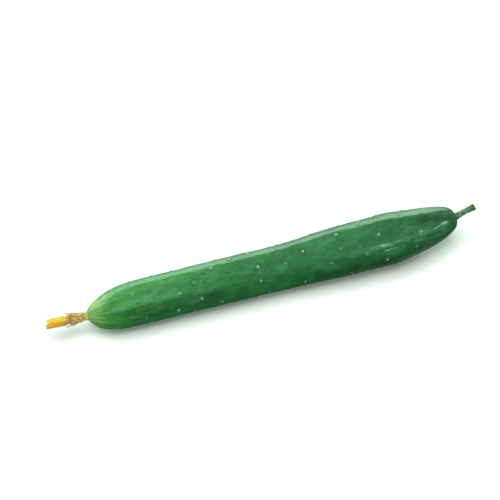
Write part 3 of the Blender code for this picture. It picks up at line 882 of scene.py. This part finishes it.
def make_stalk():
    """The cut stalk, with a dried rim and a sunken pith on its cut."""
    rows = [(0.0, 0.0), (0.0, 0.35), (0.0, 0.66), (0.005, 0.80)]
    rows += [(0.02 + 0.96 * i / STALK_ROWS, 1.0) for i in range(STALK_ROWS + 1)]
    rows += STALK_CUT
    last = len(rows) - 1

    def place(across, along):
        part, fill = rows[round(along * last)]
        return stalk_point(across, part, fill)

    bm = bmesh.new()
    shaped_grid(bm, 60, last, place)
    close_up(bm)
    stem = make_stalk_material()
    stalk = finished_piece("stalk_shaft", bm, stem, "stalk", "stalk")
    draw = random.Random(STALK_HAIR_SEED)
    thorn = thorn_mesh(STALK_HAIR, 6, 200.0)
    places = []
    for _ in range(STALK_HAIRS):
        turn, part = draw.random(), draw.uniform(0.03, 0.96)
        root = stalk_point(turn, part, 1.0)
        outward = (root - stalk_line(part)[0]).normalized()
        lean = STALK_LEAN * draw.uniform(-0.1, 0.6)
        length = draw.uniform(0.6, 1.1)
        places.append((root, outward + lean, draw.uniform(0, FULL_TURN), 1.0, length))
    down, shader = new_material("glassy stem hairs", Roughness=0.4, IOR=1.45)
    where = node(down, "ShaderNodeTexCoord")
    grain = node(down, "ShaderNodeTexNoise", {0: (where, "Object"), "Scale": 1200.0})
    colour = node(
        down, "ShaderNodeValToRGB", {0: (grain, 0)}, stops=[(0.3, "#8fa67e"), (0.7, "#dfe8cf")]
    )
    join(down, (colour, 0), shader, "Base Color")
    finished_piece("stalk_hairs", scatter(thorn, places), down, "stalk")
    return stalk


def flower_matrix():
    turned = FLOWER_LEAN.to_track_quat("Z", "Y").to_matrix().to_4x4()
    return Matrix.Translation(Vector(fruit_point(0.0, 0.0))) @ turned


def make_dry_material(name, dark, middle, pale, scale, foot=None):
    """Dead papery tissue: matt, fibrous and blotched, with painted shade that makes it darker in its
    creases. The foot's colour, if given, fades out along the piece."""
    dry, shader = new_material(name, IOR=1.4, Sheen_Weight=0.2, Sheen_Roughness=0.5)
    place = node(dry, "ShaderNodeTexCoord")
    blotches = node(
        dry,
        "ShaderNodeTexNoise",
        {0: (place, "Object"), "Scale": scale, "Detail": 5.0, "Roughness": 0.65},
    )
    colour = node(
        dry,
        "ShaderNodeValToRGB",
        {0: (blotches, 0)},
        stops=[(0.32, dark), (0.68, pale), (0.48, middle)],
    )
    result = (colour, 0)
    if foot:
        along = node(dry, "ShaderNodeAttribute", attribute_name="along")
        near = node(
            dry,
            "ShaderNodeMapRange",
            {"Value": (along, "Fac"), "From Min": 0.12, "From Max": 0.34, "To Min": 0.8, "To Max": 0.0},
        )
        mixed = node(
            dry, "ShaderNodeMix", {0: (near, 0), 6: (colour, 0), 7: linear(foot)}, data_type="RGBA"
        )
        result = (mixed, 2)
    join(dry, result, shader, "Base Color")
    rough = node(dry, "ShaderNodeMapRange", {"Value": (blotches, 0), "To Min": 0.6, "To Max": 0.95})
    join(dry, (rough, 0), shader, "Roughness")
    bump = node(dry, "ShaderNodeBump", {"Height": (blotches, 0), "Strength": 0.9, "Distance": 0.0004})
    join(dry, (bump, 0), shader, "Normal")
    return dry


def cup_point(turn, along):
    """A point of the calyx tube, on the way from its foot over the rim to its floor."""
    outline = [(0.0, CUP_PROFILE[0][1]), *CUP_PROFILE, (0.0, CUP_FLOOR)]
    reach = along * (len(outline) - 1)
    step = min(int(reach), len(outline) - 2)
    radius = mix((outline[step][0], outline[step + 1][0]), reach - step)
    height = mix((outline[step][1], outline[step + 1][1]), reach - step)
    angle = FULL_TURN * turn
    outward = Vector((math.cos(angle), math.sin(angle), 0))
    pleat = 1.3 * CUP_PLEAT * math.cos(SEPALS * (angle + CUP_TWIST * height))
    rib = 0.09 * MM * math.cos(3 * SEPALS * (angle + CUP_TWIST * height))
    crumple = 0.55 * MM * noise.noise((outward * radius + Vector((0, 0, height))) / (1.7 * MM))
    free = min(1.0, radius / (2.2 * MM)) ** 2 * min(1.0, (height + 1.6 * MM) / (2.4 * MM))
    return outward * (radius + (pleat + rib + crumple) * free) + Vector((0, 0, height))


def sepal_place(turn, spread, curl):
    radial = Vector((math.cos(turn), math.sin(turn), 0))
    tangent = Vector((-math.sin(turn), math.cos(turn), 0))
    root = radial * SEPAL_ROOT[0] + Vector((0, 0, SEPAL_ROOT[1] - SEPAL_SUNK))

    def place(across, along):
        width = (2 * across - 1) * SEPAL_HALF_WIDTH * (1.25 - 1.15 * along)
        bend = spread * math.sin(along * math.pi / 2) + 0.15 * MM
        fold = -0.35 * MM * (2 * across - 1) ** 2 + curl * max(0.0, along - 0.6) ** 2
        rise = (SEPAL_LENGTH + SEPAL_SUNK) * along - spread * along**2
        point = root + radial * (bend + fold) + tangent * width + Vector((0, 0, rise))
        return point + 0.25 * MM * noise.noise_vector(point / (1.3 * MM))

    return place


def make_calyx():
    """The dry calyx: a crumpled ribbed tube, five narrow sepals, and a fringe of stiff hairs."""
    dry = make_dry_material("dry calyx tissue", "#5e3a10", "#c3934a", "#eccb86", 900.0, "#bcbc72")
    bm = bmesh.new()
    shaped_grid(bm, 90, 66, cup_point)
    close_up(bm)
    bm.transform(flower_matrix())
    finished_piece("calyx_tube", bm, dry, "dry_calyx", "calyx")

    bm = bmesh.new()
    for i in range(SEPALS):
        turn = FULL_TURN * (i + 0.25) / SEPALS
        shaped_grid(bm, 8, 26, sepal_place(turn, SEPAL_SPREADS[i % 2], SEPAL_CURLS[i]))
    bm.transform(flower_matrix())
    withered = make_dry_material("withered sepal tissue", "#54482f", "#a8855a", "#dcc498", 700.0)
    sepals = finished_piece("sepals", bm, withered, "dry_calyx")
    thicken(sepals, SEPAL_THICKNESS)

    draw = random.Random(CALYX_HAIR_SEED)
    hair = thorn_mesh(CALYX_HAIR, 5, 130.0)
    places = []
    matrix = flower_matrix()
    for _ in range(CALYX_HAIRS):
        turn, along = draw.random(), draw.uniform(0.16, 0.60)
        root = cup_point(turn, along)
        outward = Vector((root.x, root.y, 0)).normalized()
        direction = outward + Vector((0, 0, draw.uniform(-0.7, 0.7)))
        direction += Vector([draw.uniform(-0.4, 0.4) for _ in range(3)])
        size = draw.uniform(0.5, 1.0)
        places.append(
            (matrix @ root, matrix.to_3x3() @ direction, draw.uniform(0, FULL_TURN), 1.0, size)
        )
    straw = make_dry_material("straw-coloured hairs", "#a8a060", "#d3c98a", "#efe8bc", 700.0)
    finished_piece("calyx_hairs", scatter(hair, places), straw, "dry_calyx")


def petal_place(turn, length, phase, seed):
    """Where a petal's points go: as in the solid, with pleats along it and a crumpled margin."""

    def place(across, along):
        across = 2 * across - 1
        at_root, at_rim, beyond = PETAL_RADII
        radius = mix((at_root, at_rim), smooth_between(*PETAL_LEAVES_ROOT, along))
        radius += (beyond - at_rim) * smooth_between(*PETAL_LEAVES_CUP, along)
        free = smooth_between(*PETAL_OVERLAPS, along)
        wave = PETAL_WAVE * free * math.sin(FULL_TURN * PETAL_WAVES * along + phase)
        pleats = 0.17 * MM * free * math.cos(7.5 * across + 2.2 * along + phase)
        distance = radius + mix(PETAL_OVERLAP, free) * across + wave + pleats
        half_width = mix(PETAL_HALF_WIDTH, smooth_between(*PETAL_WIDENS, along))
        into_tip = max(0.0, along - PETAL_TIP_FROM) / PETAL_TIP_ROUNDING
        half_width *= math.sqrt(1 - into_tip**2)
        ragged = 1 + 0.10 * free * noise.noise(Vector((9 * along, 3 * across, seed)))
        angle = turn + half_width * ragged * across / radius
        height = PETAL_ROOT_HEIGHT + length * along * (1 - 0.05 * free * across**2)
        point = Vector((distance * math.cos(angle), distance * math.sin(angle), height))
        crumple = noise.noise_vector(point / (2.2 * MM) + Vector((seed, 0, 0)))
        return point + crumple * 0.30 * MM * float(free)

    return place


def make_petal_material():
    """Withered petals: thin, soft and slightly see-through, deep yellow with paler, browning edges."""
    petal, shader = new_material(
        "withered yellow petal",
        IOR=1.4,
        Roughness=0.6,
        Sheen_Weight=0.2,
        Sheen_Roughness=0.4,
        Subsurface_Weight=0.6,
        Subsurface_Radius=(1.0, 0.6, 0.15),
        Subsurface_Scale=PETAL_GLOW,
    )
    along = node(petal, "ShaderNodeAttribute", attribute_name="along")
    across = node(petal, "ShaderNodeAttribute", attribute_name="across")
    place = node(petal, "ShaderNodeTexCoord")
    blotches = node(
        petal,
        "ShaderNodeTexNoise",
        {0: (place, "Object"), "Scale": 380.0, "Detail": 5.0, "Roughness": 0.6},
    )
    lengthwise = node(
        petal,
        "ShaderNodeValToRGB",
        {0: (along, "Fac")},
        stops=[
            (0.0, "#c2954a"),
            (1.0, "#d9a648"),
            (0.22, "#dcab50"),
            (0.38, "#efb644"),
            (0.60, "#fbb32a"),
            (0.92, "#f7af2c"),
        ],
    )
    pale = node(petal, "ShaderNodeAttribute", attribute_name="pale")
    faded = node(petal, "ShaderNodeMath", {0: (along, "Fac"), 1: (pale, "Fac")}, operation="MULTIPLY")
    uneven = node(
        petal,
        "ShaderNodeMapRange",
        {"Value": (blotches, 0), "From Min": 0.50, "From Max": 0.80, "To Min": 0.0, "To Max": 0.4},
    )
    paler = node(
        petal, "ShaderNodeMath", {0: (uneven, 0), 1: (faded, 0)}, operation="ADD", use_clamp=True
    )
    blotched = node(
        petal,
        "ShaderNodeMix",
        {0: (paler, 0), 6: (lengthwise, 0), 7: linear("#f2dc88")},
        data_type="RGBA",
    )
    off_middle = node(petal, "ShaderNodeMath", {0: (across, "Fac"), 1: 0.5}, operation="SUBTRACT")
    to_edge = node(petal, "ShaderNodeMath", {0: (off_middle, 0)}, operation="ABSOLUTE")
    edge = node(
        petal,
        "ShaderNodeMapRange",
        {"Value": (to_edge, 0), "From Min": 0.44, "From Max": 0.5, "To Min": 0.0, "To Max": 0.5},
    )
    colour = node(
        petal,
        "ShaderNodeMix",
        {0: (edge, 0), 6: (blotched, 2), 7: linear("#b08a45")},
        data_type="RGBA",
    )
    join(petal, (colour, 2), shader, "Base Color")
    veins = node(petal, "ShaderNodeMath", {0: (across, "Fac"), 1: 70.0}, operation="MULTIPLY")
    wobble = node(petal, "ShaderNodeMath", {0: (blotches, 0), 1: 6.0}, operation="MULTIPLY")
    wound = node(petal, "ShaderNodeMath", {0: (veins, 0), 1: (wobble, 0)}, operation="ADD")
    ridges = node(petal, "ShaderNodeMath", {0: (wound, 0)}, operation="SINE")
    bump = node(petal, "ShaderNodeBump", {"Height": (ridges, 0), "Strength": 0.3, "Distance": 0.0001})
    creases = node(
        petal,
        "ShaderNodeBump",
        {"Height": (blotches, 0), "Strength": 0.7, "Distance": 0.0005, "Normal": (bump, 0)},
    )
    join(petal, (creases, 0), shader, "Normal")
    return petal


def make_corolla():
    """The withered corolla: five thin petals closed round each other on their dry column."""
    draw = random.Random(PETAL_SEED)
    bm = bmesh.new()
    pale_layer = bm.verts.layers.float.new("pale")
    for i, length in enumerate(PETAL_LENGTHS):
        turn = PETALS_TURN + FULL_TURN * (i + 0.2 * draw.random()) / len(PETAL_LENGTHS)
        made = shaped_grid(bm, 30, 66, petal_place(turn, length, draw.uniform(0, FULL_TURN), 3.7 * i))
        for vert in made:
            vert[pale_layer] = PETAL_PALENESS[i]
    bm.transform(flower_matrix())
    petals = finished_piece("petals", bm, make_petal_material(), "petal", "corolla")
    thicken(petals, PETAL_THICKNESS)

    core = [
        (0.0, CUP_FLOOR + 0.3 * MM),
        (0.95 * MM, CUP_FLOOR + 0.35 * MM),
        (0.9 * MM, CUP_FLOOR + 2.0 * MM),
        (0.62 * MM, CUP_FLOOR + 3.6 * MM),
        (0.0, CUP_FLOOR + 3.8 * MM),
    ]
    bm = bmesh.new()
    bm.from_mesh(thorn_mesh(core, 24, 0.0))
    bm.transform(flower_matrix())
    column = make_dry_material("dry petal column", "#8a6430", "#b98d4c", "#dab774", 900.0)
    finished_piece("petal_column", bm, column, "petal")


def make_stage():
    """A white floor, a soft room round it, and a few large soft lights."""
    bm = bmesh.new()
    bmesh.ops.create_grid(bm, x_segments=1, y_segments=1, size=3)
    mesh = bpy.data.meshes.new("floor")
    bm.to_mesh(mesh)
    bm.free()
    paper, shader = new_material("white paper", Roughness=0.9)
    shader.inputs["Base Color"].default_value = (0.9, 0.9, 0.9, 1.0)
    shader.inputs["Specular IOR Level"].default_value = 0.0
    mesh.materials.append(paper)
    floor = bpy.data.objects.new("floor", mesh)
    bpy.context.scene.collection.objects.link(floor)
    floor.visible_diffuse = False
    floor.visible_glossy = False

    world = bpy.data.worlds.new("studio")
    world.use_nodes = True
    direction = node(world, "ShaderNodeTexCoord")
    turned = node(
        world,
        "ShaderNodeVectorMath",
        {0: (direction, "Generated"), 1: ROOM_AXIS},
        operation="DOT_PRODUCT",
    )
    part = node(world, "ShaderNodeMapRange", {"Value": (turned, 1), "From Min": -1.0, "From Max": 1.0})
    room = node(world, "ShaderNodeValToRGB", {0: (part, 0)}, stops=ROOM)
    background = world.node_tree.nodes["Background"]
    background.inputs["Strength"].default_value = ROOM_STRENGTH
    parts = node(world, "ShaderNodeSeparateXYZ", {0: (direction, "Generated")})
    sideways = node(world, "ShaderNodeMath", {0: (parts, 0)}, operation="ABSOLUTE")
    table = None
    for source, (start, full) in [
        ((sideways, 0), WHITE_PAST_ENDS),
        ((parts, 1), WHITE_BEHIND),
        ((parts, 2), WHITE_BELOW),
    ]:
        inside = node(
            world, "ShaderNodeMapRange", {"Value": source, "From Min": start, "From Max": full}
        )
        if table:
            inside = node(
                world, "ShaderNodeMath", {0: (table, 0), 1: (inside, 0)}, operation="MULTIPLY"
            )
        table = inside
    under = node(
        world,
        "ShaderNodeMapRange",
        {"Value": (parts, 2), "From Min": DARK_BELOW[0], "From Max": DARK_BELOW[1]},
    )
    colour = (room, 0)
    for amount, tint in [(under, ROOM_SHADE), (table, ROOM_FLOOR)]:
        layer = node(
            world, "ShaderNodeMix", {0: (amount, 0), 6: colour, 7: linear(tint)}, data_type="RGBA"
        )
        colour = (layer, 2)
    join(world, colour, background, "Color")
    bpy.context.scene.world = world
    bpy.context.scene.view_settings.view_transform = "Standard"

    for name, size, energy, colour, at, faces_x, in_gloss in LIGHTS:
        data = bpy.data.lights.new(name, "AREA")
        data.color = linear(colour)[:3]
        data.shape = "RECTANGLE"
        data.size, data.size_y = size
        data.energy = energy
        light = bpy.data.objects.new(name, data)
        light.location = at
        light.rotation_mode = "QUATERNION"
        light.rotation_quaternion = (at - Vector((faces_x, 0, 0))).to_track_quat("Z", "Y")
        light.visible_glossy = in_gloss
        bpy.context.scene.collection.objects.link(light)


def make_camera():
    """The camera, at the photograph's angle and distance."""
    level = math.cos(VIEW_ELEVATION)
    back = Vector(
        (math.sin(VIEW_AZIMUTH) * level, -math.cos(VIEW_AZIMUTH) * level, math.sin(VIEW_ELEVATION))
    )
    right = Vector((math.cos(VIEW_AZIMUTH), math.sin(VIEW_AZIMUTH), 0))
    up = back.cross(right)
    data = bpy.data.cameras.new("camera")
    data.lens = VIEW_LENS
    data.sensor_width = 36
    data.clip_start = 0.01
    data.clip_end = 20
    camera = bpy.data.objects.new("camera", data)
    camera.location = right * VIEW_AIM[0] + up * VIEW_AIM[1] + back * VIEW_DISTANCE
    camera.rotation_mode = "QUATERNION"
    camera.rotation_quaternion = Matrix((right, up, back)).transposed().to_quaternion()
    bpy.context.scene.collection.objects.link(camera)
    bpy.context.scene.camera = camera


make_camera()
make_stage()
make_skin()
make_spines()
make_stalk()
make_calyx()
make_corolla()
